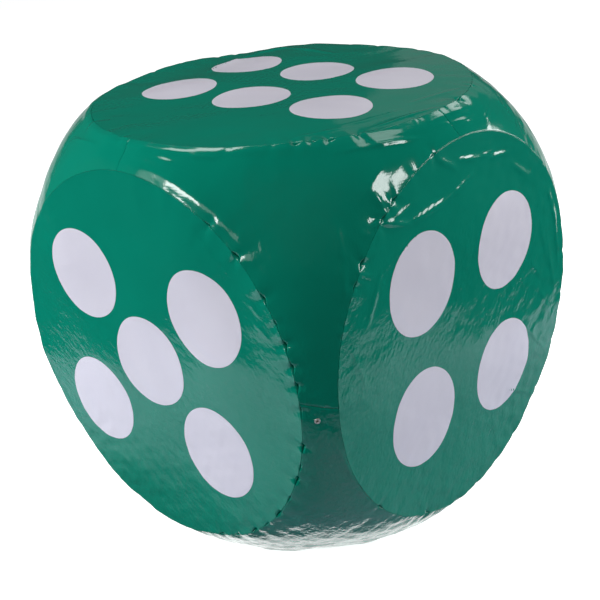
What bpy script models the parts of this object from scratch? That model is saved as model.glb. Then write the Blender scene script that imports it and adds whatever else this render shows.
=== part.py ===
"""A giant soft casino die: a foam core in a sewn cover of six round face panels and eight corner
panels, all of PVC-coated fabric, with white pips let in flush and a vent eyelet in one corner panel.

Metres, +Z up. The origin is the middle of the underside. Face six is up, face five looks along -Y and
face four along +X; opposite faces add up to seven.
"""

import math

import bmesh
import bpy
from mathutils import Matrix, Vector

# The die as a whole
ACROSS_FLATS = 0.600  # from one face to the opposite one
SEAM_INSET = 0.032  # from a face's round seam to the sharp edge that the rounding takes off
CORNER_CROWN = 0.006  # how far a corner panel's middle stands proud of the sphere through the seams
CLEARANCE = 0.0003  # between any two pieces that touch

# The cover and the pips
COVER_THICKNESS = 0.0009
PIP_THICKNESS = 0.0003

# The vent eyelet, which sits in a corner panel just under the seam between faces five and four
EYELET_BORE_RADIUS = 0.0018
EYELET_BARREL_RADIUS = 0.0023
EYELET_FLANGE_RADIUS = 0.0038
EYELET_ROLL_RADIUS = 0.0034
EYELET_METAL = 0.0004  # thickness of the flange, of the rolled end and of the washer
EYELET_DROP = 0.0075  # below the seam
EYELET_SIDE = 0.0025  # off the middle of the edge, towards face five
WASHER_RADIUS = 0.0045
CORE_RECESS_DEPTH = 0.004  # the hollow in the foam behind the eyelet

# How finely curves are divided
SHARP_ANGLE = math.radians(35)  # edges that turn more than this are shaded sharp
QUARTER_STEPS = 10  # along a quarter of a seam circle; an even number
FAN_ROWS = 3  # from a seam circle to the line where two fans meet
PIP_STEPS = 24
EYELET_STEPS = 16

HALF = ACROSS_FLATS / 2
SEAM_RADIUS = HALF - SEAM_INSET  # of the seam between a face panel and its four corner panels
MIDDLE = Vector((0, 0, HALF))
SEAM_SPHERE = math.hypot(HALF, SEAM_RADIUS)  # the sphere that all six seam circles lie on

# Each face: its outward direction, the direction to the right as one looks at it, and its pips. Their
# places are in steps from the face's middle, one step being from one pip to the next. Their radius,
# the gaps between them to the right and upwards, and the shift of the whole pattern are in seam radii,
# since the pattern is drawn to fit its panel. The turn is in degrees: no pattern is quite square.
FACES = {
    "one": dict(out=(0, 0, -1), right=(1, 0, 0), spots=[(0, 0)], radius=0.258),
    "two": dict(
        out=(0, 1, 0), right=(-1, 0, 0), spots=[(-0.5, 0.5), (0.5, -0.5)], radius=0.258, gap=(0.20, 0.20)
    ),
    "three": dict(
        out=(-1, 0, 0), right=(0, -1, 0), spots=[(-0.5, 0.5), (0, 0), (0.5, -0.5)], radius=0.250,
        gap=(0.33, 0.31),
    ),
    "four": dict(
        out=(1, 0, 0), right=(0, 1, 0), spots=[(-0.5, 0.5), (0.5, 0.5), (-0.5, -0.5), (0.5, -0.5)],
        radius=0.259, gap=(0.203, 0.198), shift=(0.008, 0.001), turn=-2.7,
    ),
    "five": dict(
        out=(0, -1, 0), right=(1, 0, 0),
        spots=[(-0.5, 0.5), (0.5, 0.5), (0, 0), (-0.5, -0.5), (0.5, -0.5)],
        radius=0.247, gap=(0.390, 0.260), shift=(-0.029, -0.015), turn=-2.2,
    ),
    "six": dict(
        out=(0, 0, 1), right=(1, 0, 0),
        spots=[(-1, 0.5), (0, 0.5), (1, 0.5), (-1, -0.5), (0, -0.5), (1, -0.5)],
        radius=0.203, gap=(0.100, 0.160), shift=(-0.001, 0.037), turn=4.0,
    ),
}
ACROSS_NAMES = {1: "right", -1: "left"}
DEEP_NAMES = {1: "rear", -1: "front"}
HIGH_NAMES = {1: "upper", -1: "lower"}


def clear_scene():
    for thing in list(bpy.data.objects):
        bpy.data.objects.remove(thing)


def new_material(name, colour, roughness, metallic=0.0):
    made = bpy.data.materials.new(name)
    made.use_nodes = True
    shader = made.node_tree.nodes["Principled BSDF"]
    shader.inputs["Base Color"].default_value = (*colour, 1)
    shader.inputs["Roughness"].default_value = roughness
    shader.inputs["Metallic"].default_value = metallic
    return made


def object_from(name, shape, material, place=None, helper=False):
    """A scene object from a bmesh, which is freed. A helper only cuts other pieces."""
    bmesh.ops.recalc_face_normals(shape, faces=shape.faces)
    mesh = bpy.data.meshes.new(name)
    shape.to_mesh(mesh)
    shape.free()
    made = bpy.data.objects.new(name, mesh)
    bpy.context.scene.collection.objects.link(made)
    made.matrix_world = place or Matrix.Identity(4)
    if helper:
        made.hide_render = True
        made.display_type = "WIRE"
    else:
        mesh.materials.append(material)
        mesh.shade_smooth()
        mesh.set_sharp_from_angle(angle=SHARP_ANGLE)
    return made


def disc(radius, bottom, top, steps):
    """A round plate along Z, with its first corner on +X."""
    shape = bmesh.new()
    angles = [2 * math.pi * step / steps for step in range(steps)]
    rings = [
        [shape.verts.new((radius * math.cos(a), radius * math.sin(a), height)) for a in angles]
        for height in (bottom, top)
    ]
    shape.faces.new(rings[0])
    shape.faces.new(rings[1])
    bmesh.ops.bridge_loops(shape, edges=[e for e in shape.edges])
    return shape


def turned_ring(profile, steps):
    """A ring turned about Z from a closed profile of (radius, height) points."""
    shape = bmesh.new()
    corners = [shape.verts.new((radius, 0, height)) for radius, height in profile]
    outline = [shape.edges.new((corners[i - 1], corners[i])) for i in range(len(corners))]
    bmesh.ops.spin(
        shape, geom=outline, axis=(0, 0, 1), cent=(0, 0, 0), angle=2 * math.pi, steps=steps, use_merge=True
    )
    return shape


def cut(piece, cutter):
    boolean = piece.modifiers.new("cut_" + cutter.name, "BOOLEAN")
    boolean.operation = "DIFFERENCE"
    boolean.object = cutter


def face_place(face):
    """The matrix from a face's own frame (x to the right, y up, z out, from the face's middle)."""
    out, right = Vector(face["out"]), Vector(face["right"])
    turn = Matrix((right, out.cross(right), out)).transposed().to_4x4()
    return Matrix.Translation(MIDDLE + HALF * out) @ turn


def spot_places(face):
    """The pips' centres in a face's own frame."""
    turn = Matrix.Rotation(math.radians(face.get("turn", 0)), 2)
    step = [2 * face["radius"] + gap for gap in face.get("gap", (0, 0))]
    shift = Vector(face.get("shift", (0, 0)))
    for across, up in face["spots"]:
        yield SEAM_RADIUS * (turn @ Vector((across * step[0], up * step[1])) + shift)


def build_faces(green, white):
    """Six round panels, each with a pocket for every pip, and the pips that fill them flush."""
    for name, face in FACES.items():
        place = face_place(face)
        pip_radius = face["radius"] * SEAM_RADIUS
        shape = disc(SEAM_RADIUS - CLEARANCE / 2, -COVER_THICKNESS, 0, 4 * QUARTER_STEPS)
        panel = object_from(f"face_panel_{name}", shape, green, place)
        for number, spot in enumerate(spot_places(face), start=1):
            at = place @ Matrix.Translation((*spot, 0))
            pocket = disc(pip_radius + CLEARANCE, -PIP_THICKNESS - CLEARANCE, COVER_THICKNESS, PIP_STEPS)
            cut(panel, object_from(f"pocket_{name}_{number}", pocket, None, at, helper=True))
            pip = disc(pip_radius, -PIP_THICKNESS, 0, PIP_STEPS)
            object_from(f"pip_{name}_{number}", pip, white, at)


def corner_net():
    """The nodes, four-sided cells and edge of one corner panel, as steps and rows of three fans.

    A fan spreads from a quarter of one seam circle in to the lines that run from the middle of each
    short seam to the corner's middle. Two fans share the nodes on the line between them.
    """
    nodes, cells = {}, []

    def node(axis, step, row):
        key = (axis, step, row)
        if row == FAN_ROWS:
            from_seam = min(step, QUARTER_STEPS - step)
            beside = (axis + (1 if step <= QUARTER_STEPS / 2 else 2)) % 3
            key = ("line", frozenset((axis, beside)), from_seam)
            if from_seam == QUARTER_STEPS / 2:
                key = "middle"
        return nodes.setdefault(key, (len(nodes), axis, step, row))[0]

    for axis in range(3):
        for step in range(QUARTER_STEPS):
            for row in range(FAN_ROWS):
                corners = ((step, row), (step + 1, row), (step + 1, row + 1), (step, row + 1))
                cells.append([node(axis, s, r) for s, r in corners])
    seen = {}
    for cell in cells:
        for a, b in zip(cell, cell[1:] + cell[:1]):
            seen.setdefault(frozenset((a, b)), []).append((a, b))
    rim = [uses[0] for uses in seen.values() if len(uses) == 1]
    return [entry[1:] for entry in nodes.values()], cells, rim


def corner_point(axis, step, row, sphere, rim_radius, side_gap):
    """Where a node of the net lies, seen from the die's middle, in the corner where x, y and z are positive.

    It is drawn in from the seam circle towards the fan's inner line, then set on the sphere, and its
    middle stands proud by the crown.
    """
    out, one_way, other_way = (Vector([i == (axis + k) % 3 for i in range(3)]) for k in range(3))
    start = math.asin(side_gap / rim_radius)
    angle = start + (math.pi / 2 - 2 * start) * step / QUARTER_STEPS
    on_circle = rim_radius * (math.cos(angle) * one_way + math.sin(angle) * other_way)
    on_circle += math.sqrt(sphere**2 - rim_radius**2) * out
    share = 2 * step / QUARTER_STEPS
    near, far = (one_way, other_way) if share <= 1 else (other_way, one_way)
    seam_middle = (out + near).normalized() * sphere + side_gap * far
    corner_middle = Vector((1, 1, 1)).normalized() * sphere
    on_line = seam_middle.lerp(corner_middle, min(share, 2 - share)).normalized() * sphere
    depth = row / FAN_ROWS
    crown = CORNER_CROWN * (1 - (1 - depth) ** 2) * math.sin(math.pi * step / QUARTER_STEPS)
    return on_circle.lerp(on_line, depth).normalized() * (sphere + crown)


def corner_layer(shape, nodes, signs, sphere, rim_radius, side_gap):
    """The net's nodes as vertices on one sphere, in the corner that the signs name."""
    points = (corner_point(*node, sphere, rim_radius, side_gap) for node in nodes)
    return [shape.verts.new([s * c for s, c in zip(signs, p)]) for p in points]


def corners():
    """Each corner's signs along X, Y and Z, with its name."""
    for across, across_name in ACROSS_NAMES.items():
        for deep, deep_name in DEEP_NAMES.items():
            for high, high_name in HIGH_NAMES.items():
                yield (across, deep, high), f"{high_name}_{deep_name}_{across_name}"


def build_corner_panels(green):
    """Eight three-armed panels whose arms meet at the middles of the die's edges."""
    nodes, cells, rim = corner_net()
    rim_radius = SEAM_RADIUS + CLEARANCE / 2
    made = {}
    for signs, name in corners():
        shape = bmesh.new()
        outside, inside = (
            corner_layer(shape, nodes, signs, sphere, rim_radius, CLEARANCE / 2)
            for sphere in (SEAM_SPHERE, SEAM_SPHERE - COVER_THICKNESS)
        )
        for layer in (outside, inside):
            for cell in cells:
                shape.faces.new([layer[i] for i in cell])
        for a, b in rim:
            shape.faces.new([outside[a], outside[b], inside[b], inside[a]])
        made[signs] = object_from(f"corner_panel_{name}", shape, green, Matrix.Translation(MIDDLE))
    return made


def build_core(foam):
    """The foam block: the cover's inside, less the clearance."""
    nodes, cells, _ = corner_net()
    inset = COVER_THICKNESS + CLEARANCE
    sphere, height = SEAM_SPHERE - inset, HALF - inset
    rim_radius = math.sqrt(sphere**2 - height**2)
    shape = bmesh.new()
    for signs, _ in corners():
        layer = corner_layer(shape, nodes, signs, sphere, rim_radius, 0)
        for cell in cells:
            shape.faces.new([layer[i] for i in cell])
    bmesh.ops.remove_doubles(shape, verts=shape.verts, dist=CLEARANCE / 100)
    bmesh.ops.holes_fill(shape, edges=shape.edges, sides=4 * QUARTER_STEPS)
    return object_from("foam_core", shape, foam, Matrix.Translation(MIDDLE))


def build_eyelet(panel, core, nickel):
    """A flanged eyelet through the panel, rolled over a washer inside, with a hollow for it in the foam."""
    aim = Vector((HALF - EYELET_SIDE, -HALF - EYELET_SIDE, -EYELET_DROP))
    bpy.context.view_layer.update()
    _, spot, outwards, _ = panel.ray_cast(2 * aim, -aim)
    place = Matrix.Translation(MIDDLE + spot) @ outwards.to_track_quat("Z", "Y").to_matrix().to_4x4()

    flange_bottom = CLEARANCE
    flange_top = flange_bottom + EYELET_METAL
    washer_top = -COVER_THICKNESS - CLEARANCE
    washer_bottom = washer_top - EYELET_METAL
    roll_top = washer_bottom - CLEARANCE
    roll_bottom = roll_top - EYELET_METAL
    hole_radius = EYELET_BARREL_RADIUS + CLEARANCE
    eyelet = turned_ring(
        [
            (EYELET_BORE_RADIUS, flange_top),
            (EYELET_FLANGE_RADIUS, flange_top),
            (EYELET_FLANGE_RADIUS, flange_bottom),
            (EYELET_BARREL_RADIUS, flange_bottom),
            (EYELET_BARREL_RADIUS, roll_top),
            (EYELET_ROLL_RADIUS, roll_top),
            (EYELET_ROLL_RADIUS, roll_bottom),
            (EYELET_BORE_RADIUS, roll_bottom),
        ],
        EYELET_STEPS,
    )
    object_from("vent_eyelet", eyelet, nickel, place)
    washer = turned_ring(
        [
            (hole_radius, washer_top),
            (WASHER_RADIUS, washer_top),
            (WASHER_RADIUS, washer_bottom),
            (hole_radius, washer_bottom),
        ],
        EYELET_STEPS,
    )
    object_from("eyelet_washer", washer, nickel, place)
    hole = disc(hole_radius, washer_top, flange_top, EYELET_STEPS)
    cut(panel, object_from("eyelet_hole", hole, None, place, helper=True))
    recess = disc(WASHER_RADIUS + CLEARANCE, roll_bottom - CORE_RECESS_DEPTH, flange_top, EYELET_STEPS)
    cut(core, object_from("core_recess", recess, None, place, helper=True))


def build():
    clear_scene()
    green = new_material("green_pvc_fabric", (0.0, 0.19, 0.125), 0.22)
    white = new_material("white_pvc_film", (0.62, 0.61, 0.70), 0.4)
    foam = new_material("polyurethane_foam", (0.75, 0.70, 0.55), 0.95)
    nickel = new_material("nickel_plated_brass", (0.80, 0.79, 0.76), 0.25, 1.0)
    build_faces(green, white)
    panels = build_corner_panels(green)
    core = build_core(foam)
    build_eyelet(panels[(1, -1, -1)], core, nickel)


build()
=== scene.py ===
"""A giant soft casino die, dressed in its sewn cover: foam core, six round face panels, eight corner panels,
twenty-one pips, and the vent eyelet. Everything is in metres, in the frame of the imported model.
"""

import math

import bmesh
import bpy
import numpy as np
from mathutils import Matrix, Vector


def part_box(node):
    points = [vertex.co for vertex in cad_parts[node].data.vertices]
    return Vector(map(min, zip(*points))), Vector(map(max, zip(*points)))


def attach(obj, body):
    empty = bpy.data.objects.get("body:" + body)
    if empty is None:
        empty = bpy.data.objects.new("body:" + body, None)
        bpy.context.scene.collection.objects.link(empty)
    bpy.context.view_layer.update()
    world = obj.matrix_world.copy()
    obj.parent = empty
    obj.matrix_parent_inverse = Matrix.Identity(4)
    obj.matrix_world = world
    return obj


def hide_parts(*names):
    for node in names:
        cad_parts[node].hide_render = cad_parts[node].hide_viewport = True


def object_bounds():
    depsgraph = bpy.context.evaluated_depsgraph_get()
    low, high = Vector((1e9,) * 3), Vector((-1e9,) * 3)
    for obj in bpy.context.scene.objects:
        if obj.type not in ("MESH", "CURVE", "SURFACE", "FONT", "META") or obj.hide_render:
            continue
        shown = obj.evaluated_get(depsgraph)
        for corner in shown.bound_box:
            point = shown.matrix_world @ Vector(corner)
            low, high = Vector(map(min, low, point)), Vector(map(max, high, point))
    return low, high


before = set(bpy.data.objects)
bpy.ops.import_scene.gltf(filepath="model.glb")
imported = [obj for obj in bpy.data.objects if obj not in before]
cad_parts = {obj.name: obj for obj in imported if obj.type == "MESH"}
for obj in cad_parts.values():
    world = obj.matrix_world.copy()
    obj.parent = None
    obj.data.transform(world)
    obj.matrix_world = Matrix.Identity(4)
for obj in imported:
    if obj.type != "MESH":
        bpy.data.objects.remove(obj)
cad_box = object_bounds()


# ---- Camera -------------------------------------------------------------------------------------
# A short telephoto at chest height, 1.7 m from the die's middle, looking a little down on the edge
# between faces five and four. It was held slightly off level.

MIDDLE = np.array((cad_box[0] + cad_box[1]) / 2)
HALF = (cad_box[1].z - cad_box[0].z) / 2
CAMERA_AZIMUTH = math.radians(43.7)
CAMERA_ELEVATION = math.radians(24.05)
CAMERA_DISTANCE = 1.7103
CAMERA_AIM = Vector((0.0072, -0.0100, 0.2733))
CAMERA_ROLL = math.radians(-5.45)
CAMERA_LENS = 67.1  # focal length in millimetres

level = math.cos(CAMERA_ELEVATION)
away = Vector(
    (math.sin(CAMERA_AZIMUTH) * level, -math.cos(CAMERA_AZIMUTH) * level, math.sin(CAMERA_ELEVATION))
)
camera = bpy.data.objects.new("camera", bpy.data.cameras.new("camera"))
camera.data.lens = CAMERA_LENS
camera.location = Vector(MIDDLE) + CAMERA_DISTANCE * away
look = (CAMERA_AIM - camera.location).to_track_quat("-Z", "Y").to_matrix()
camera.rotation_euler = (look @ Matrix.Rotation(CAMERA_ROLL, 3, "Z")).to_euler()
bpy.context.scene.collection.objects.link(camera)
bpy.context.scene.camera = camera


# ---- Foam core ----------------------------------------------------------------------------------
# A block of open-cell polyurethane foam, sawn to the die's shape. The cover is pulled over it, so the
# core has the cover's own shape, less the cloth, with a furrow where the seams' turned edges sink in.

SEAM_RADIUS = (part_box("face_panel_six")[1].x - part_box("face_panel_six")[0].x) / 2
SEAM_SPHERE = math.hypot(HALF, SEAM_RADIUS)  # the sphere that all the seams lie on
CORNER_CROWN = 0.006  # how far a corner panel's middle stands proud of that sphere
BLEND = 0.020  # how far from a seam the cloth has turned to its panel's own slope
FOAM_INSET = 0.003
FURROW_DEPTH, FURROW_WIDTH = 0.013, 0.005
FOAM_STEPS = 160  # round a face; a multiple of four
FOAM_FACE_ROWS, FOAM_CORNER_ROWS = (0.08, 34, 1.6), (0.1, 16, 1.4)  # gradings away from a seam
FOAM_MERGE = 0.0003  # closer points than this become one
# Each face's direction outwards, and the direction to the right as one looks at it
FACES = {
    "one": ((0, 0, -1), (1, 0, 0)),
    "two": ((0, 1, 0), (-1, 0, 0)),
    "three": ((-1, 0, 0), (0, -1, 0)),
    "four": ((1, 0, 0), (0, 1, 0)),
    "five": ((0, -1, 0), (1, 0, 0)),
    "six": ((0, 0, 1), (1, 0, 0)),
}
# How far the middle of each face stands proud of its flat place
DOMES = {"one": -0.0015, "two": 0.002, "three": 0.002, "four": 0.002, "five": 0.0, "six": 0.005}
# The eight corners, each as the signs of its X, Y and Z
CORNERS = np.array(np.meshgrid([-1, 1], [-1, 1], [-1, 1])).reshape(3, 8).T
# Tucks that the sewer left where a corner panel's edge was eased round a face: angle in degrees, and depth as
# a share of TUCK_DEPTH
TUCKS = {
    "four": [
        (102, 0.6), (121, 0.9), (127, 0.8), (140, 0.9), (146, 0.6), (160, 0.3), (-139, 0.9), (-112, 0.8),
    ],
    "five": [
        (57, 0.7), (46, 1.1), (33, 0.9), (26, 0.6), (20, 0.9), (14, 1.0), (8.5, 0.9), (2, 0.7), (-10, 1.3),
        (-17, 0.7), (-22, 1.2), (-30, 0.7), (-38, 1.3), (-46, 0.7), (-53, 1.0), (-62, 0.6), (-70, 0.8),
    ],
    "six": [(-120, 0.6), (-98, 0.3), (-44, 0.9), (-40, 0.7), (-35, 0.9), (-27, 0.6), (-8, 0.5), (12, 0.6)],
}
SMALL_TUCKS = 30  # more round each seam, from the gathering of the cloth
# Where the cloth went on evenly, so that its small tucks are faint: from one angle to another, in degrees
EVEN = {"five": (62, 265), "six": (-178, -75), "four": (60, 98)}
TUCK_WIDTH, TUCK_DEPTH, TUCK_REACH = 0.0034, 0.0030, 0.014
TUCK_SPREAD = 0.35  # how much a tuck widens for each metre from the seam
RIPPLE_LENGTH, RIPPLE_HEIGHT, RIPPLE_REACH = 0.035, 0.0003, 0.030
WAVES = 16  # sine waves in an undulation
# Undulations of the foam and its cloth: the length and height of their waves, and a seed
SWELL, DRIFT, CRUMPLE = (0.16, 0.0010, 3), (0.055, 0.00018, 4), (0.020, 0.00013, 6)
CRUMPLED_PATCHES = (0.20, 1.0, 5)
CALM_REACH = 0.03  # how near the top and the bottom the undulations fade
CRUMPLE_SHARE = 0.35  # of the crumple that is everywhere; patches and worn places add to it
WORN_RIGHT, WORN_WIDTH = 0.19, 0.09  # where along Y the cloth is worn far right
WORN_LOW, WORN_DEPTH, WORN_SHARE = -0.08, 0.15, 1.8  # the height below which it is worn, and how much more
# Where the corner panels stand up in a roll beside a seam: middle and half length in degrees, then its
# height, its distance from the seam and its width in metres
ROLLS = {
    "five": [(70, 27, 0.0016, 0.0140, 0.0100)],
    "six": [(-100, 62, 0.0016, 0.0075, 0.0065), (-8, 34, 0.0014, 0.0130, 0.0090)],
}


def face_axes(name):
    """A face's directions outwards, to the right and up, as arrays."""
    out, right = (np.array(way, float) for way in FACES[name])
    return out, right, np.cross(out, right)


def tucks(name):
    """Angle, depth and slant of every tuck round a face's seam: the known ones, and small ones drawn at
    random."""
    draw = np.random.default_rng(sum(name.encode()))
    known = np.array(TUCKS.get(name, np.empty((0, 2))), float).reshape(-1, 2)
    spread = (np.arange(SMALL_TUCKS) + draw.uniform(-0.4, 0.4, SMALL_TUCKS)) * 360 / SMALL_TUCKS
    depth = draw.uniform(0.05, 0.5, SMALL_TUCKS)
    start, end = EVEN.get(name, (0, 0))
    depth[(spread - start) % 360 < end - start] *= 0.1
    angles = np.radians(np.concatenate([known[:, 0], spread]))
    depths = np.concatenate([known[:, 1], depth])
    return angles, depths, draw.uniform(-0.5, 0.5, len(angles))


def undulation(points, length, height, seed):
    """The sum of some sine waves of about that length, in directions and phases drawn at random, divided by
    the root of half their number."""
    draw = np.random.default_rng(seed)
    ways = draw.normal(size=(WAVES, 3))
    lengths = length * draw.uniform(0.7, 1.6, (WAVES, 1))
    ways *= 2 * math.pi / (lengths * np.linalg.norm(ways, axis=1, keepdims=True))
    phases = draw.uniform(0, 2 * math.pi, WAVES)
    return height * np.sin(points @ ways.T + phases).sum(-1) / math.sqrt(WAVES / 2)


def round_seam(angle, at):
    """The distance along a seam from one angle to another, the short way round."""
    return SEAM_RADIUS * ((angle - at + math.pi) % (2 * math.pi) - math.pi)


def beside_seam(name, angle, distance):
    """The cloth's height beside a face's seam.

    Each tuck is a valley that leaves the seam at a slant, widens, and dies away exponentially. A gathering
    ripple runs along the seam between them.
    """
    at, depth, slant = tucks(name)
    distance = distance[..., None]
    along = round_seam(angle[..., None], at) - slant * distance
    width = TUCK_WIDTH + TUCK_SPREAD * distance
    valleys = depth * np.exp(-((along / width) ** 2) - distance / TUCK_REACH)
    turn = np.stack([np.cos(angle), np.sin(angle), np.zeros_like(angle)], -1) * SEAM_RADIUS
    ripple = undulation(turn, RIPPLE_LENGTH, RIPPLE_HEIGHT, sum(name.encode()))
    return ripple * np.exp(-distance[..., 0] / RIPPLE_REACH) - TUCK_DEPTH * valleys.sum(-1)


def roll_height(name, angle, distance):
    """The height of a corner panel's rolls beside a face's seam: bell-shaped across it, and flat along their
    length with soft ends."""
    total = np.zeros_like(distance)
    for middle, half, height, away, width in ROLLS.get(name, []):
        off = round_seam(angle, math.radians(middle)) / SEAM_RADIUS / math.radians(half)
        total += height * np.exp(-(off**4) - ((distance - away) / width) ** 2)
    return total


def hang(points, heights):
    """Adds the undulations that the foam and the cloth on it share.

    Slow ones run all over the die. A crumple two centimetres across comes and goes, and is strongest low down
    and far right. All of them fade towards face one, which the die stands on.
    """
    y, z = points[..., 1], points[..., 2]
    slow = undulation(points, *SWELL) + undulation(points, *DRIFT)
    patch = np.clip(undulation(points, *CRUMPLED_PATCHES), 0, 2) * CRUMPLE_SHARE
    far_right = np.exp(-(((y - WORN_RIGHT) / WORN_WIDTH) ** 2))
    low_down = np.clip((WORN_LOW - z) / WORN_DEPTH, 0, 1) * WORN_SHARE
    calm = np.clip((HALF - z) / CALM_REACH, 0.25, 1)
    crumple = undulation(points, *CRUMPLE) * (CRUMPLE_SHARE + patch + (far_right + low_down)) * calm
    return heights + (slow + crumple) * np.clip((z + HALF) / CALM_REACH, 0, 1)


def face_surface(name, x, y):
    """Points on a face and the way its cloth is lifted, for places (x, y) in the face's own frame.

    Near the seam the way leans over to halfway between the face's direction and the corner panel's.
    """
    out, right, up = face_axes(name)
    radius, angle = np.hypot(x, y), np.arctan2(y, x)
    points = out * HALF + x[..., None] * right + y[..., None] * up
    rim = (np.cos(angle)[..., None] * right + np.sin(angle)[..., None] * up) * SEAM_RADIUS / SEAM_SPHERE
    lean = out + rim + out * HALF / SEAM_SPHERE
    lean /= np.linalg.norm(lean, axis=-1, keepdims=True)
    share = np.clip(1 - (SEAM_RADIUS - radius) / BLEND, 0, 1)[..., None]
    share = share * share * (3 - 2 * share)
    ways = out * (1 - share) + lean * share
    ways /= np.linalg.norm(ways, axis=-1, keepdims=True)
    return points, ways


def face_height(name, x, y, points):
    """A face's height over its plane: a slight dome, its own side of the seam, and the slow undulations."""
    radius, angle = np.hypot(x, y), np.arctan2(y, x)
    dome = DOMES[name] * (1 - (radius / SEAM_RADIUS) ** 2)
    seam = beside_seam(name, angle, np.maximum(SEAM_RADIUS - radius, 0))
    return hang(points, dome + seam)


def corner_seams(signs):
    """The names of the three faces round a corner, in the order of X, Y and Z."""
    outs = {FACES[name][0]: name for name in FACES}
    return [outs[tuple(int(signs[k]) * int(k == axis) for k in range(3))] for axis in range(3)]


# How far the short seams were sewn from the middles of the die's edges: the edge's two faces, and the
# distances at the first face's end and at the second's, along the third axis
SHORT_SEAM_SHIFTS = {
    ("five", "four"): (0.0178, 0.0069),
    ("five", "six"): (-0.0136, -0.0169),
    ("four", "six"): (0.0040, 0.0020),
}


def short_seam_shift(signs, here, there, third):
    """A short seam's shift at the end on face `here`, in the frame of a corner, where all its signs are
    positive."""
    names = corner_seams(signs)
    for pair, shifts in SHORT_SEAM_SHIFTS.items():
        if pair == (names[here], names[there]):
            return signs[third] * shifts[0]
        if pair == (names[there], names[here]):
            return signs[third] * shifts[1]
    return 0.0


def corner_fan(signs, axis, quarter, distances):
    """One of a corner's three fans: points and the way they are lifted, for angles along a quarter of a seam
    and distances from it, which run from 0 at the seam to 1 at the line where fans meet.

    The quarter's ends move with the short seams. A point slides from the seam circle towards that line, and
    is then set on the sphere through all the seams, raised by the crown.
    """
    one, other = (axis + 1) % 3, (axis + 2) % 3
    out, one_way, other_way = (np.eye(3)[k] for k in (axis, one, other))
    starts = [short_seam_shift(signs, *way) for way in ((axis, one, other), (one, axis, other))]
    ends = [short_seam_shift(signs, *way) for way in ((axis, other, one), (other, axis, one))]
    run = quarter / (math.pi / 2)
    turned = quarter + (1 - run) * starts[0] / SEAM_RADIUS - run * ends[0] / SEAM_RADIUS
    cos, sin = np.cos(turned)[:, None], np.sin(turned)[:, None]
    on_circle = SEAM_RADIUS * (cos * one_way + sin * other_way) + HALF * out
    share = np.clip(quarter / (math.pi / 4), 0, 2)[:, None]
    near_start = one_way + sum(starts) / HALF / 2 * other_way
    near_end = other_way + sum(ends) / HALF / 2 * one_way
    near = np.where(share <= 1, near_start, near_end)
    seam_middle = (out + near) / math.sqrt(2) * SEAM_SPHERE
    corner_middle = np.ones(3) / math.sqrt(3) * SEAM_SPHERE
    inwards = np.minimum(share, 2 - share)
    on_line = seam_middle * (1 - inwards) + corner_middle * inwards
    on_line *= SEAM_SPHERE / np.linalg.norm(on_line, axis=1, keepdims=True)
    depth = distances[..., None]
    points = on_circle * (1 - depth) + on_line * depth
    points /= np.linalg.norm(points, axis=-1, keepdims=True)
    crown = CORNER_CROWN * (1 - (1 - np.clip(distances, 0, 1)) ** 2)
    crown = crown * np.sin(2 * np.clip(quarter, 0, math.pi / 2))
    ways = points * signs
    return ways * (SEAM_SPHERE + crown)[..., None], ways


def past_seam(ways, out):
    """The distance along the sphere from a face's seam to the places that lie those ways from the middle."""
    return SEAM_SPHERE * (np.arccos(np.clip(ways @ out, -1, 1)) - math.asin(SEAM_RADIUS / SEAM_SPHERE))


def corner_height(signs, points, ways):
    """A corner panel's height over its sphere: the rolls and tucks of its three seams, and the slow
    undulations. Also the way the cloth is lifted, which leans over beside a seam."""
    heights, leaning = np.zeros(points.shape[:-1]), ways.copy()
    for name in corner_seams(signs):
        out, right, up = face_axes(name)
        angle = np.arctan2(ways @ up, ways @ right)
        distance = np.maximum(past_seam(ways, out), 0)
        heights += beside_seam(name, angle, distance) + roll_height(name, angle, distance)
        share = np.clip(1 - distance / BLEND, 0, 1)[..., None]
        leaning += out * share * share * (3 - 2 * share)
    leaning /= np.linalg.norm(leaning, axis=-1, keepdims=True)
    return hang(points, heights), leaning


def grid_quads(rows, columns, closed):
    """The four-sided faces of a grid whose points are numbered row by row. A closed one joins its last column
    to its first."""
    row, column = np.meshgrid(np.arange(rows - 1), np.arange(columns - (not closed)), indexing="ij")
    beside = (column + 1) % columns
    quads = np.stack([row, row, row + 1, row + 1], -1) * columns
    return (quads + np.stack([column, beside, beside, column], -1)).reshape(-1, 4)


def filled_disc(rings):
    """The points and faces of a disc from its rings of points, with a fan of triangles at its middle."""
    count, steps = rings.shape[:2]
    last = (count - 1) * steps
    fan = [[last + k, last + (k + 1) % steps, count * steps] for k in range(steps)]
    points = np.concatenate([rings.reshape(-1, 3), rings[-1].mean(0, keepdims=True)])
    return points, grid_quads(count, steps, True).tolist() + fan


def add_piece(name, points, faces, material, merge=0):
    """A smooth piece from points relative to the die's middle, with its faces turned outwards. Points closer
    than the merge distance become one."""
    mesh = bpy.data.meshes.new(name)
    mesh.from_pydata((points.reshape(-1, 3) + MIDDLE).tolist(), [], faces)
    made = bpy.data.objects.new(name, mesh)
    bpy.context.scene.collection.objects.link(made)
    shape = bmesh.new()
    shape.from_mesh(mesh)
    if merge:
        bmesh.ops.remove_doubles(shape, verts=shape.verts, dist=merge)
    bmesh.ops.recalc_face_normals(shape, faces=shape.faces)
    shape.normal_update()
    middle = Vector(MIDDLE)
    outwards = sum(f.normal.dot(f.calc_center_median() - middle) * f.calc_area() for f in shape.faces)
    if outwards < 0:
        bmesh.ops.reverse_faces(shape, faces=shape.faces)
    shape.to_mesh(mesh)
    shape.free()
    mesh.shade_smooth()
    mesh.materials.append(material)
    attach(made, "root")
    return made


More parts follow.
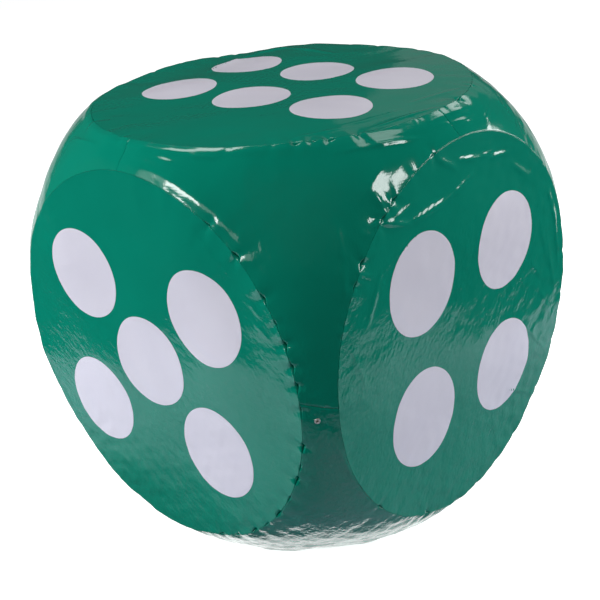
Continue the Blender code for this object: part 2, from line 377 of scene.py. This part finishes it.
def linear(colour):
    """A hex colour as the linear red, green, blue and alpha that a shader takes."""
    parts = [int(colour[i : i + 2], 16) / 255 for i in (1, 3, 5)]
    return [c / 12.92 if c <= 0.04045 else ((c + 0.055) / 1.055) ** 2.4 for c in parts] + [1]


def add_node(material, kind, sockets=None, **settings):
    """Adds a node with its settings. Each socket, by name or number, takes a value or another's output."""
    node = material.node_tree.nodes.new(kind)
    for key, value in settings.items():
        setattr(node, key, value)
    for key, value in (sockets or {}).items():
        if isinstance(value, bpy.types.NodeSocket):
            material.node_tree.links.new(value, node.inputs[key])
        else:
            node.inputs[key].default_value = value
    return node


def new_material(name, roughness, metallic=0.0, ior=1.5):
    """A material and its shader, whose own sockets hold what is the same all over."""
    made = bpy.data.materials.new(name)
    made.use_nodes = True
    shader = made.node_tree.nodes["Principled BSDF"]
    shader.inputs["Roughness"].default_value = roughness
    shader.inputs["Metallic"].default_value = metallic
    shader.inputs["IOR"].default_value = ior
    return made, shader


def join(material, output, socket):
    """Links one node's output to another's input."""
    material.node_tree.links.new(output, socket)


def mottle(material, place, scale, detail, one, other):
    """A colour that drifts from one hex colour to another, in soft patches."""
    patches = add_node(material, "ShaderNodeTexNoise", {"Vector": place, "Scale": scale, "Detail": detail})
    colours = {0: patches.outputs["Fac"], 6: linear(one), 7: linear(other)}
    return add_node(material, "ShaderNodeMix", colours, data_type="RGBA").outputs[2]


def foam_material():
    """Sawn polyurethane foam: dull, cream, with open cells a millimetre or two across."""
    made, shader = new_material("sawn_polyurethane_foam", 0.95)
    place = add_node(made, "ShaderNodeTexCoord").outputs["Object"]
    join(made, mottle(made, place, 9, 3, "#E9E2C9", "#DDD2AE"), shader.inputs["Base Color"])
    cells = add_node(made, "ShaderNodeTexVoronoi", {"Vector": place, "Scale": 450})
    bump = add_node(made, "ShaderNodeBump", {"Height": cells.outputs["Distance"], "Distance": 0.0008})
    join(made, bump.outputs["Normal"], shader.inputs["Normal"])
    return made


def seam_grading(first, count, power):
    """That many places from a seam, at 0, to 1 far from it: even ones from the first on, raised to a power so
    that they lie closer together near the seam."""
    return np.linspace(first, 1, count) ** power


def foam_depth(distance):
    """The foam's height over the cloth's at distances from a seam: an inset, and a bell-shaped furrow."""
    return -FOAM_INSET - FURROW_DEPTH * np.exp(-((distance / FURROW_WIDTH) ** 2))


def build_foam_core():
    """The core as one closed surface, from coarse grids of all the faces and corners."""
    points, faces, count = [], [], 0

    def add(more_points, more_faces):
        nonlocal count
        points.append(more_points)
        faces.extend([k + count for k in face] for face in more_faces)
        count += len(more_points)

    angle = np.arange(FOAM_STEPS) * 2 * math.pi / FOAM_STEPS
    inwards = np.append(0, seam_grading(*FOAM_FACE_ROWS))
    for name in FACES:
        radius = SEAM_RADIUS * (1 - inwards[:-1, None])
        x, y = radius * np.cos(angle), radius * np.sin(angle)
        base, ways = face_surface(name, x, y)
        lift = face_height(name, x, y, base) + foam_depth(SEAM_RADIUS - radius)
        add(*filled_disc(base + ways * lift[..., None]))
    quarter = np.linspace(0, math.pi / 2, FOAM_STEPS // 4 + 1)
    outwards = np.append(0, seam_grading(*FOAM_CORNER_ROWS))
    share = np.repeat(outwards[:, None], len(quarter), 1)
    for signs in CORNERS:
        for axis in range(3):
            base, ways = corner_fan(signs, axis, quarter, share)
            height, leaning = corner_height(signs, base, ways)
            lift = height + foam_depth(past_seam(ways, np.eye(3)[axis] * signs))
            grid = base + leaning * lift[..., None]
            add(grid.reshape(-1, 3), grid_quads(*grid.shape[:2], False).tolist())
    return add_piece("foam_block", np.concatenate(points), faces, foam_material(), merge=FOAM_MERGE)


foam = build_foam_core()
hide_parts("foam_core")


# ---- Face panels --------------------------------------------------------------------------------
# Six discs of PVC-coated polyester, sewn in from the back. The edge is turned inwards all round, so that a
# seam shows as a tight crease, which opens into a dark slit at each tuck.

CLOTH = 0.0009
SEAM_GAP = 0.0001  # from the seam's middle to each of the two cloths
SEAM_ALLOWANCE = 0.008
TIGHT_ROLL, SLACK_ROLL = 0.0006, 0.0044  # radius of the roll at a seam, and what the deepest tuck adds to it
SLIT = 0.0068  # half the length of a slit
FACE_STEPS, FACE_ROWS, FACE_GRADING = 560, 66, 1.45  # round a face, and from its seam to its middle
FOLD_REACH = 8  # widths from a fold's line at which it is cut off


def turned_edge(slack, reach, inwards):
    """Distance from the seam and depth under the surface of each row of a panel.

    The rows climb the turned edge, go over a quarter round of the slack's radius, and spread across the
    panel.
    """
    climb = np.array([1.0, 0.6, 0.25, 0.0])[:, None]
    over = np.radians([72, 54, 36, 18, 0])[:, None]
    distance = np.concatenate(
        [
            SEAM_GAP + 0 * climb * slack,
            SEAM_GAP + slack * (1 - np.sin(over)),
            SEAM_GAP + slack + (reach - slack - SEAM_GAP) * inwards[:, None],
        ]
    )
    depth = np.concatenate(
        [-slack - SEAM_ALLOWANCE * climb, -slack * (1 - np.cos(over)), 0 * slack * inwards[:, None]]
    )
    return distance, depth


def seam_slack(name, angle):
    """The radius of the roll at a seam: tight, with a flat-topped swell at each tuck."""
    at, depth, _ = tucks(name)
    swells = depth**2 * np.exp(-((round_seam(angle[..., None], at) / SLIT) ** 4))
    return TIGHT_ROLL + SLACK_ROLL * np.minimum(swells.sum(-1), 1)


def fold_height(points):
    """Soft creases pressed into the cloth. Each is a ridge along a straight line, which falls off across it
    as 1 / (1 + (distance / width)^2)^1.5 and is tapered along it as a sine."""
    heights = np.zeros(points.shape[:-1])
    for start, end, width, height in FOLDS:
        start, run = np.array(start), np.array(end) - np.array(start)
        share = np.clip(((points - start) @ run) / (run @ run), 0, 1)
        off = np.linalg.norm(points - start - share[..., None] * run, axis=-1)
        taper = np.sin(math.pi * (0.06 + 0.88 * share)) ** 0.8
        heights += height * taper / (1 + (off / width) ** 2) ** 1.5 * (off < FOLD_REACH * width)
    return heights


# Where the cloth has been creased in use: from, to, width and height, in metres from the die's middle
FOLDS = [
    ((0.30, -0.005, 0.240), (0.30, 0.045, 0.228), 0.0028, 0.0018),
    ((0.30, 0.040, 0.229), (0.30, 0.080, 0.226), 0.0026, 0.0012),
    ((0.30, -0.050, 0.256), (0.30, -0.005, 0.228), 0.0040, 0.0012),
    ((0.30, -0.200, 0.222), (0.30, -0.110, 0.190), 0.0036, 0.0022),
    ((0.30, -0.115, 0.190), (0.30, -0.020, 0.196), 0.0030, 0.0022),
    ((0.30, -0.025, 0.195), (0.30, 0.030, 0.210), 0.0026, 0.0014),
    ((0.30, -0.070, 0.184), (0.30, -0.175, 0.146), 0.0028, 0.0015),
    ((0.30, -0.172, 0.148), (0.30, -0.205, 0.090), 0.0028, 0.0016),
    ((0.30, -0.190, 0.200), (0.30, -0.150, 0.222), 0.0030, 0.0014),
    ((0.30, -0.225, 0.170), (0.30, -0.190, 0.150), 0.0030, 0.0014),
    ((0.30, -0.235, 0.070), (0.30, -0.215, 0.010), 0.0030, 0.0010),
    ((0.30, 0.125, 0.196), (0.30, 0.165, 0.168), 0.0040, 0.0012),
    ((0.30, 0.232, 0.110), (0.30, 0.252, 0.000), 0.0036, 0.0016),
    ((0.30, 0.215, 0.060), (0.30, 0.240, -0.040), 0.0040, 0.0016),
    ((0.30, 0.195, 0.090), (0.30, 0.222, 0.010), 0.0032, 0.0011),
    ((0.30, 0.190, -0.010), (0.30, 0.235, -0.085), 0.0036, 0.0012),
    ((0.30, 0.150, -0.060), (0.30, 0.215, -0.130), 0.0036, 0.0010),
    ((0.30, 0.110, -0.150), (0.30, 0.180, -0.190), 0.0040, 0.0012),
    ((0.113, -0.30, 0.215), (0.170, -0.30, 0.164), 0.0015, 0.0008),
    ((0.198, -0.30, 0.136), (0.216, -0.30, 0.120), 0.0030, 0.0012),
    ((0.208, -0.30, 0.108), (0.230, -0.30, 0.090), 0.0030, 0.0012),
    ((0.271, -0.212, 0.220), (0.290, -0.226, 0.180), 0.0045, 0.0021),
    ((0.290, -0.226, 0.181), (0.296, -0.236, 0.140), 0.0045, 0.0021),
    ((0.276, -0.125, 0.268), (0.278, -0.180, 0.232), 0.0062, 0.0019),
    ((0.284, -0.157, 0.243), (0.300, -0.155, 0.220), 0.0036, 0.0020),
    ((0.293, -0.195, 0.208), (0.300, -0.185, 0.200), 0.0036, 0.0020),
    ((0.296, -0.212, 0.188), (0.303, -0.202, 0.180), 0.0036, 0.0020),
    ((0.254, -0.135, 0.290), (0.286, -0.060, 0.284), 0.0036, 0.0024),
    ((0.225, -0.150, 0.296), (0.262, -0.080, 0.297), 0.0036, 0.0018),
    ((0.240, -0.060, 0.300), (0.262, 0.010, 0.300), 0.0036, 0.0018),
    ((0.270, -0.030, 0.292), (0.276, 0.060, 0.288), 0.0050, 0.0024),
    ((0.262, 0.128, 0.278), (0.290, 0.078, 0.272), 0.0040, 0.0018),
    ((0.200, -0.120, 0.30), (0.226, -0.020, 0.30), 0.0030, 0.0010),
    ((0.180, -0.180, 0.30), (0.215, -0.100, 0.30), 0.0030, 0.0010),
    ((0.218, 0.010, 0.30), (0.236, 0.100, 0.30), 0.0036, 0.0012),
    ((-0.161, -0.253, 0.276), (-0.084, -0.276, 0.287), 0.0036, 0.0020),
    ((-0.190, -0.246, 0.262), (-0.140, -0.262, 0.270), 0.0030, 0.0016),
    ((0.038, -0.283, 0.290), (0.072, -0.280, 0.286), 0.0030, 0.0014),
    ((0.086, -0.267, 0.295), (0.122, -0.255, 0.292), 0.0032, 0.0018),
    ((-0.166, 0.011, 0.30), (-0.185, 0.062, 0.30), 0.0050, 0.0018),
    ((-0.185, 0.058, 0.30), (-0.190, 0.105, 0.30), 0.0050, 0.0022),
    ((-0.190, 0.097, 0.30), (-0.186, 0.163, 0.30), 0.0050, 0.0022),
    ((-0.187, 0.154, 0.30), (-0.160, 0.192, 0.30), 0.0050, 0.0022),
    ((-0.170, 0.187, 0.30), (-0.055, 0.184, 0.30), 0.0050, 0.0020),
    ((0.225, -0.185, 0.292), (0.262, -0.120, 0.288), 0.0030, 0.0018),
    ((0.236, -0.095, 0.298), (0.252, -0.030, 0.299), 0.0030, 0.0020),
    ((0.262, -0.090, 0.290), (0.270, 0.000, 0.290), 0.0034, 0.0020),
    ((0.281, -0.020, 0.283), (0.288, 0.050, 0.279), 0.0034, 0.0018),
    ((0.252, 0.030, 0.298), (0.258, 0.090, 0.294), 0.0034, 0.0018),
    ((0.240, -0.120, 0.294), (0.270, -0.110, 0.284), 0.0024, 0.0014),
    ((0.250, -0.085, 0.295), (0.276, -0.070, 0.285), 0.0024, 0.0014),
    ((0.30, 0.060, 0.222), (0.30, 0.120, 0.214), 0.0030, 0.0014),
    ((0.30, -0.150, 0.205), (0.30, -0.090, 0.215), 0.0028, 0.0012),
    ((0.30, 0.218, 0.130), (0.30, 0.240, 0.070), 0.0030, 0.0012),
    ((0.30, 0.170, 0.040), (0.30, 0.206, -0.010), 0.0028, 0.0010),
    ((0.294, -0.279, -0.022), (0.301, -0.246, -0.119), 0.0055, 0.0018),
    ((0.262, -0.268, -0.140), (0.272, -0.240, -0.185), 0.0060, 0.0018),
    ((0.262, -0.262, -0.120), (0.285, -0.240, -0.180), 0.0032, 0.0010),
    ((0.150, -0.262, -0.270), (0.230, -0.215, -0.262), 0.0050, 0.0020),
    ((0.240, -0.190, -0.275), (0.275, -0.110, -0.262), 0.0050, 0.0020),
    ((0.210, -0.215, -0.285), (0.255, -0.150, -0.280), 0.0040, 0.0016),
    ((0.120, -0.262, -0.285), (0.180, -0.225, -0.288), 0.0040, 0.0016),
]


def pvc_material():
    """Dark green PVC coated on a polyester scrim, calendered to a high gloss: saturated, with sharp
    reflections that the scrim and the stretch of the film break up."""
    made, shader = new_material("glossy_green_pvc_on_scrim", 0.10, ior=1.53)
    place = add_node(made, "ShaderNodeTexCoord").outputs["Object"]
    join(made, mottle(made, place, 5, 4, "#008069", "#008A72"), shader.inputs["Base Color"])
    # The scrim has a thread each millimetre. It is drawn at three, the finest that shows. At a scale of 1, a
    # wave texture's bands are 2 pi / 20 apart.
    spacing = 0.003
    bands = {"Vector": place, "Scale": 2 * math.pi / 20 / spacing, "Distortion": 0.6, "Detail": 1}
    threads = [add_node(made, "ShaderNodeTexWave", bands, bands_direction=way) for way in "XYZ"]
    pair = add_node(made, "ShaderNodeMath", {0: threads[0].outputs["Fac"], 1: threads[1].outputs["Fac"]})
    scrim = add_node(made, "ShaderNodeMath", {0: pair.outputs[0], 1: threads[2].outputs["Fac"]})
    # The film is drawn out slantwise in streaks a centimetre long, which come and go over the die and are
    # fainter high up
    slant = add_node(
        made,
        "ShaderNodeMapping",
        {"Vector": place, "Rotation": (0, 0.955, 2.356), "Scale": (1, 1, 5)},
        vector_type="TEXTURE",
    )
    streaks = add_node(
        made, "ShaderNodeTexNoise", {"Vector": slant.outputs[0], "Scale": 170, "Detail": 2, "Roughness": 0.5}
    )
    where = add_node(made, "ShaderNodeTexNoise", {"Vector": place, "Scale": 6, "Detail": 2})
    drawn = add_node(
        made,
        "ShaderNodeMapRange",
        {"Value": where.outputs["Fac"], "From Min": 0.40, "From Max": 0.60, "To Min": 0.35, "To Max": 1.0},
    )
    up = add_node(made, "ShaderNodeSeparateXYZ", {0: place})
    low_down = add_node(
        made,
        "ShaderNodeMapRange",
        {"Value": up.outputs["Z"], "From Min": 0.30, "From Max": 0.52, "To Min": 1.0, "To Max": 0.25},
    )
    share = add_node(
        made, "ShaderNodeMath", {0: drawn.outputs[0], 1: low_down.outputs[0]}, operation="MULTIPLY"
    )
    height = add_node(
        made, "ShaderNodeMath", {0: streaks.outputs["Fac"], 1: share.outputs[0]}, operation="MULTIPLY"
    )
    coarse = add_node(made, "ShaderNodeBump", {"Height": height.outputs[0], "Distance": 0.00110})
    fine = add_node(
        made,
        "ShaderNodeBump",
        {"Height": scrim.outputs[0], "Distance": 0.00001, "Normal": coarse.outputs["Normal"]},
    )
    join(made, fine.outputs["Normal"], shader.inputs["Normal"])
    return made


def cloth_thickness(piece):
    """Gives a panel the cloth's thickness, towards the foam."""
    solid = piece.modifiers.new("cloth", "SOLIDIFY")
    solid.thickness, solid.offset = CLOTH, -1


def build_face_panel(name, material):
    """Rings from the turned edge to the face's middle."""
    angle = np.arange(FACE_STEPS) * 2 * math.pi / FACE_STEPS
    rows = seam_grading(0.0, FACE_ROWS, FACE_GRADING)[1:-1]
    distance, depth = turned_edge(seam_slack(name, angle), SEAM_RADIUS, rows)
    radius = SEAM_RADIUS - distance
    x, y = radius * np.cos(angle), radius * np.sin(angle)
    base, ways = face_surface(name, x, y)
    lift = depth + face_height(name, x, y, base) + fold_height(base)
    return add_piece(f"face_cover_{name}", *filled_disc(base + ways * lift[..., None]), material)


green = pvc_material()
panels = {}
for name in FACES:
    panels[name] = build_face_panel(name, green)
    cloth_thickness(panels[name])
    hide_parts(f"face_panel_{name}")


# ---- Corner panels ------------------------------------------------------------------------------
# Eight three-armed pieces of the same cloth, one over each corner. Arms meet end to end in a short seam near
# the middle of each of the die's edges, turned and sewn like the round ones.

ARM_CREASE, UPRIGHT_CREASE, CREASE_WIDTH = 0.0003, 0.0009, 0.0010
# Distances along a round seam of the first places beside a short seam, and how many even ones then follow up
# to the arm's middle
BESIDE_SHORT_SEAM = [0, 0.0004, 0.0009, 0.0016, 0.0026, 0.0042, 0.0062]
EVEN_FROM, EVEN_STEPS = 0.0085, 66
CORNER_ROWS, CORNER_GRADING = 36, 1.3  # from a round seam to the line where fans meet
CORNER_MERGE = 0.00002  # closer points than this become one


def build_corner_panel(signs, material):
    """Three fans, joined along the lines from the middles of the short seams to the corner's middle."""
    arc = SEAM_RADIUS * math.pi / 4
    first = np.concatenate([BESIDE_SHORT_SEAM, np.linspace(EVEN_FROM, arc, EVEN_STEPS)]) / arc
    quarter = np.concatenate([first, 2 - first[-2::-1]]) * math.pi / 4
    start = math.asin(SEAM_GAP / SEAM_RADIUS)
    quarter = start + (math.pi / 2 - 2 * start) * quarter / (math.pi / 2)
    rows = seam_grading(0.0, CORNER_ROWS, CORNER_GRADING)[1:]
    points, faces, count = [], [], 0
    for axis in range(3):
        name = corner_seams(signs)[axis]
        out, right, up = face_axes(name)
        on_line, _ = corner_fan(signs, axis, quarter, np.ones((1, len(quarter))))
        on_seam, _ = corner_fan(signs, axis, quarter, np.zeros((1, len(quarter))))
        reach = np.linalg.norm(on_line - on_seam, axis=-1)[0]
        angle = np.arctan2(on_seam[0] @ up, on_seam[0] @ right)
        distance, depth = turned_edge(seam_slack(name, angle), reach, rows)
        base, ways = corner_fan(signs, axis, quarter, distance / reach)
        height, leaning = corner_height(signs, base, ways)
        # The short seams of the die's upright edges, between the x and y fans, were sewn the tightest
        upright = np.where(quarter < math.pi / 4, axis == 0, axis == 1)
        crease = upright * (UPRIGHT_CREASE - ARM_CREASE) + ARM_CREASE
        crease = crease * np.exp(-SEAM_RADIUS * np.minimum(quarter, math.pi / 2 - quarter) / CREASE_WIDTH)
        grid = base + leaning * (depth + height + fold_height(base) - crease)[..., None]
        points.append(grid.reshape(-1, 3))
        faces.extend((grid_quads(*grid.shape[:2], False) + count).tolist())
        count += grid.shape[0] * grid.shape[1]
    sides = ("left", "right"), ("front", "rear"), ("lower", "upper")
    across, deep, high = (side[int(sign > 0)] for side, sign in zip(sides, signs))
    name = f"{high}_{deep}_{across}"
    points = np.concatenate(points)
    return name, add_piece(f"corner_cover_{name}", points, faces, material, merge=CORNER_MERGE)


corners = {}
for signs in CORNERS:
    name, panel = build_corner_panel(signs, green)
    cloth_thickness(panel)
    corners[name] = panel
    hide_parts(f"corner_panel_{name}")


# ---- Pips ---------------------------------------------------------------------------------------
# Discs of white PVC film, cut round and welded flush on the face panels, so they follow every wave of them.

PIP_LIFT, PIP_FILM = 0.00014, 0.00010  # the film's top over the panel, and its thickness
PIP_STEPS, PIP_ROWS = 96, 15
PIP_EDGE, PIP_INNER = 0.998, 0.985  # two rings that keep the cut edge crisp, in radii


def film_material():
    """White PVC film, faintly lilac, satin from the calender."""
    made, shader = new_material("satin_white_pvc_film", 0.28, ior=1.5)
    place = add_node(made, "ShaderNodeTexCoord").outputs["Object"]
    join(made, mottle(made, place, 14, 4, "#DEDBE9", "#E4E2ED"), shader.inputs["Base Color"])
    grain = add_node(made, "ShaderNodeTexNoise", {"Vector": place, "Scale": 300, "Detail": 2})
    bump = add_node(made, "ShaderNodeBump", {"Height": grain.outputs["Fac"], "Distance": 0.00008})
    join(made, bump.outputs["Normal"], shader.inputs["Normal"])
    return made


def build_pip(face, number, material):
    """A disc of rings on the face's own surface, centred where the part's pip is."""
    low, high = (np.array(corner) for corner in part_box(f"pip_{face}_{number}"))
    out, right, up = face_axes(face)
    centre, radius = (low + high) / 2 - MIDDLE, (high - low).max() / 2
    angle = np.arange(PIP_STEPS) * 2 * math.pi / PIP_STEPS
    ring = radius * np.append([1, PIP_EDGE], np.linspace(PIP_INNER, 0, PIP_ROWS + 1)[:-1])[:, None]
    x = centre @ right + ring * np.cos(angle)
    y = centre @ up + ring * np.sin(angle)
    base, ways = face_surface(face, x, y)
    lift = PIP_LIFT + face_height(face, x, y, base) + fold_height(base)
    pip = add_piece(f"pip_film_{face}_{number}", *filled_disc(base + ways * lift[..., None]), material)
    film = pip.modifiers.new("film", "SOLIDIFY")
    film.thickness, film.offset = PIP_FILM, -1
    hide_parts(f"pip_{face}_{number}")
    return pip


white = film_material()
for count, face in enumerate(FACES, start=1):
    pips = [build_pip(face, number, white) for number in range(1, count + 1)]


# ---- Vent eyelet --------------------------------------------------------------------------------
# A small eyelet of nickel-plated brass, stamped from sheet, pushed through the corner panel and rolled over a
# washer behind it. It lets air out when somebody leans on the die.

HOLE_RADIUS = 0.0024
PUNCH_LENGTH = 0.008
EDGE_REACH = 0.05  # how far outside the die's edge the search for the cloth's surface starts
# Cross-sections as distances from the axis and along it, from the cloth's outer surface: the barrel with the
# flange's rounded lip and the end rolled under the washer, and the washer
EYELET_PROFILE = [
    (0.0018, -0.0023), (0.0018, 0.0002), (0.0020, 0.0006), (0.0024, 0.0009), (0.0028, 0.0009),
    (0.0033, 0.0007), (0.0037, 0.0003), (0.0038, 0.0), (0.0036, -0.0001), (0.0023, -0.0001),
    (0.0023, -0.0015), (0.0034, -0.0017), (0.0034, -0.0021),
]
WASHER_PROFILE = [(0.0024, -0.0010), (0.0044, -0.0010), (0.0044, -0.0014), (0.0024, -0.0014)]


def nickel_material():
    """Nickel plate on stamped brass: pale grey, bright, with fine scratches from handling."""
    made, shader = new_material("nickel_plated_brass", 0.45, metallic=1.0)
    shader.inputs["Base Color"].default_value = linear("#F2F0EB")
    place = add_node(made, "ShaderNodeTexCoord").outputs["Object"]
    wear = add_node(made, "ShaderNodeTexNoise", {"Vector": place, "Scale": 900, "Detail": 3})
    rough = add_node(made, "ShaderNodeMapRange", {"Value": wear.outputs["Fac"], "To Min": 0.5, "To Max": 0.7})
    join(made, rough.outputs[0], shader.inputs["Roughness"])
    bump = add_node(made, "ShaderNodeBump", {"Height": wear.outputs["Fac"], "Distance": 0.00003})
    join(made, bump.outputs["Normal"], shader.inputs["Normal"])
    return made


def turned_ring(name, place, profile, material, steps=64):
    """A ring from its cross-section: places out from the axis and along it, round a closed loop."""
    profile = np.array(profile)
    angle = np.arange(steps) * 2 * math.pi / steps
    turn = np.stack([np.cos(angle), np.sin(angle)], -1)
    loops = np.concatenate([profile[:, None, :1] * turn, np.repeat(profile[:, None, 1:], steps, 1)], -1)
    turned = np.array(place.to_3x3())
    points = loops @ turned.T + np.array(place.translation) - MIDDLE
    quads = grid_quads(len(profile) + 1, steps, True) % (len(profile) * steps)
    return add_piece(name, points, quads.tolist(), material)


def punch(panel, place, radius, steps=48):
    """Cuts a round hole through a panel's cloth and keeps the result as the panel's own mesh."""
    cutter = bpy.data.objects.new("punch", bpy.data.meshes.new("punch"))
    shape = bmesh.new()
    bmesh.ops.create_cone(
        shape, cap_ends=True, segments=steps, radius1=radius, radius2=radius, depth=PUNCH_LENGTH, matrix=place
    )
    shape.to_mesh(cutter.data)
    shape.free()
    bpy.context.scene.collection.objects.link(cutter)
    hole = panel.modifiers.new("hole", "BOOLEAN")
    hole.object, hole.operation, hole.solver = cutter, "DIFFERENCE", "EXACT"
    bpy.context.view_layer.update()
    result = panel.evaluated_get(bpy.context.evaluated_depsgraph_get())
    punched = bpy.data.meshes.new_from_object(result)
    panel.modifiers.clear()
    panel.data = punched
    bpy.data.objects.remove(cutter)


panel = corners["lower_front_right"]
low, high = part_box("vent_eyelet")
bpy.context.view_layer.update()
edge = Vector((1, -1, 0)).normalized()
_, spot, outwards, _ = panel.ray_cast((low + high) / 2 + EDGE_REACH * edge, -edge)
place = Matrix.Translation(spot) @ outwards.to_track_quat("Z", "Y").to_matrix().to_4x4()
nickel = nickel_material()
punch(panel, place, HOLE_RADIUS)
for name, node, profile in (
    ("rolled_eyelet", "vent_eyelet", EYELET_PROFILE),
    ("stamped_washer", "eyelet_washer", WASHER_PROFILE),
):
    ring = turned_ring(name, place, profile, nickel)
    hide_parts(node)


# ---- Floor and light ----------------------------------------------------------------------------
# Studio props. The camera sees a pale floor and a white backdrop, and the die reflects a narrower sweep of
# shaded paper with a lit patch. Softboxes stand left and right, dim ones behind and overhead, a strip above
# and keys on both sides, and a wide soft light in front fills the shadows.

FLOOR_GAP = 0.0004  # under the lowest point of the cloth
SWEEP_DROP, PATCH_RISE = 0.001, 0.0002  # the sweep under the floor, and the lit patch over it
PATCH_STEPS = 96
LIGHT_DISTANCE = 2.4  # from the die's middle

floor_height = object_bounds()[0].z - FLOOR_GAP
towards = np.array([away.x, away.y]) / math.hypot(away.x, away.y)
sideways = np.array([-towards[1], towards[0]])


def paper(name, glow):
    """Matt white paper, which glows a little, as if more light came on it from far off."""
    made, shader = new_material(name, 0.8)
    shader.inputs["Base Color"].default_value = linear("#F0F0F0")
    shader.inputs["Emission Color"].default_value = linear("#FFFFFF")
    shader.inputs["Emission Strength"].default_value = glow
    return made


def rectangle(along, across):
    """A rectangle's corners, from its two ends along the camera's way and its two sides across it."""
    (far, near), (left, right) = along, across
    return [(far, left), (near, left), (near, right), (far, right)]


def flat_card(name, outline, height, material):
    """A flat card from its outline, in places along the camera's way and across it."""
    points = [towards * a + sideways * b for a, b in outline]
    mesh = bpy.data.meshes.new(name)
    mesh.from_pydata([(x, y, height) for x, y in points], [], [range(len(points))])
    mesh.materials.append(material)
    card = bpy.data.objects.new(name, mesh)
    bpy.context.scene.collection.objects.link(card)
    card.visible_shadow = False
    return card


def shade_from_die(material):
    """Darkens the paper where the die keeps the light off it: softly in front and to the right, and more in
    an oval round its foot. The light that is left comes off the walls, and is cool."""
    shader = material.node_tree.nodes["Principled BSDF"]
    place = add_node(material, "ShaderNodeTexCoord").outputs["Object"]
    dots = [
        add_node(material, "ShaderNodeVectorMath", {0: place, 1: (*way, 0)}, operation="DOT_PRODUCT")
        for way in (towards, sideways)
    ]
    along, across = (dot.outputs["Value"] for dot in dots)
    ramp = add_node(material, "ShaderNodeValToRGB")
    spread = add_node(material, "ShaderNodeMapRange", {"Value": across, "From Min": -1.0})
    join(material, spread.outputs[0], ramp.inputs[0])
    stops = [
        (0.22, "#E4ECFF"), (0.40, "#B4BCD0"), (0.47, "#98A0B6"), (0.53, "#C4CCE0"), (0.70, "#9EA8BE"),
        (0.88, "#E4ECFF"),
    ]
    elements = ramp.color_ramp.elements
    elements[0].position, elements[1].position = stops[0][0], stops[-1][0]
    for position, _ in stops[1:-1]:
        elements.new(position)
    for element, (_, colour) in zip(elements, stops):
        element.color = linear(colour)
    # The oval's middle is a tenth of a metre left of the die's, and it is 0.76 m by 1 m
    oval = add_node(material, "ShaderNodeCombineXYZ")
    for socket, value, middle, half in ((0, along, 0.0, 0.38), (1, across, -0.10, 0.50)):
        sides = {"Value": value, "From Min": middle, "From Max": middle + half}
        scaled = add_node(material, "ShaderNodeMapRange", sides, clamp=False)
        join(material, scaled.outputs[0], oval.inputs[socket])
    off = add_node(material, "ShaderNodeVectorMath", {0: oval.outputs[0]}, operation="LENGTH")
    foot = add_node(
        material,
        "ShaderNodeMapRange",
        {"Value": off.outputs["Value"], "From Min": 0.68, "From Max": 0.96, "To Min": 0.15, "To Max": 1.0},
        interpolation_type="SMOOTHSTEP",
    )
    shaded = add_node(
        material, "ShaderNodeVectorMath", {0: ramp.outputs[0], "Scale": foot.outputs[0]}, operation="SCALE"
    )
    join(material, shaded.outputs[0], shader.inputs["Base Color"])


# Seen by the camera only
floor = flat_card("floor", rectangle((-12, 6), (-9, 9)), floor_height, paper("pale_floor_paper", 0.95))
floor.visible_diffuse = floor.visible_glossy = floor.visible_transmission = False
# Seen by the die only: the sweep, what lies behind it, and the lit patch, which gives no light of its own
sweep_height = floor_height - SWEEP_DROP
sweep_paper = paper("sweep_paper", 0.0)
shade_from_die(sweep_paper)
sweep = flat_card("sweep", rectangle((-0.6, 0.80), (-0.86, 0.82)), sweep_height, sweep_paper)
far_paper = paper("far_sweep_paper", 0.3)
behind = flat_card("sweep_behind", rectangle((-9, -0.6), (-4, 4)), sweep_height, far_paper)
sweep.visible_camera = behind.visible_camera = False
turn = np.arange(PATCH_STEPS) * 2 * math.pi / PATCH_STEPS
oval = np.stack([0.04 + 0.29 * np.cos(turn), 0.250 * np.sin(turn)], -1)
light_panel = flat_card("light_panel", oval, floor_height + PATCH_RISE, paper("lit_paper", 1.5))
light_panel.visible_camera = light_panel.visible_diffuse = False


def softbox(name, way, size, power, glossy=True):
    """An area light of that width and height, which looks at the die from that way. One that isn't glossy
    doesn't show in the die's reflections."""
    light = bpy.data.lights.new(name, "AREA")
    light.shape, light.size, light.size_y, light.energy = "RECTANGLE", *size, power
    lamp = bpy.data.objects.new(name, light)
    lamp.location = Vector(MIDDLE) + LIGHT_DISTANCE * Vector(way).normalized()
    lamp.rotation_euler = (Vector(MIDDLE) - lamp.location).to_track_quat("-Z", "Y").to_euler()
    lamp.visible_glossy = glossy
    bpy.context.scene.collection.objects.link(lamp)


softbox("softbox_left", (-0.80, -0.55, 0.20), (1.6, 1.4), 43, glossy=False)
softbox("softbox_right", (0.60, 0.75, 0.12), (1.6, 0.9), 37)
softbox("softbox_rear", (-0.30, 0.85, 0.42), (1.2, 1.2), 0.6)
softbox("softbox_rear_high", (0.10, 0.78, 0.62), (1.0, 0.6), 5)
softbox("softbox_overhead", (0.15, 0.40, 0.90), (1.0, 0.5), 4)
softbox("strip_top", (-0.45, 0.05, 0.89), (1.5, 0.5), 13)
softbox("key_left", (-0.27, -0.80, 0.52), (0.95, 0.32), 15)
softbox("key_left_wide", (-0.20, -0.82, 0.53), (2.0, 0.40), 4)
softbox("key_right", (0.80, 0.20, 0.55), (0.45, 0.45), 8)
softbox("front_bounce", (0.46, -0.48, 0.75), (1.6, 1.6), 8, glossy=False)
# The die meets a dim studio, and the camera a white backdrop
world = bpy.data.worlds.new("dim_studio")
world.use_nodes = True
background = world.node_tree.nodes["Background"]
background.inputs["Color"].default_value = linear("#FFFFFF")
seen = add_node(world, "ShaderNodeLightPath").outputs["Is Camera Ray"]
strength = add_node(world, "ShaderNodeMapRange", {"Value": seen, "To Min": 0.03, "To Max": 1.0})
join(world, strength.outputs[0], background.inputs["Strength"])
bpy.context.scene.world = world
bpy.context.scene.view_settings.view_transform = "Standard"
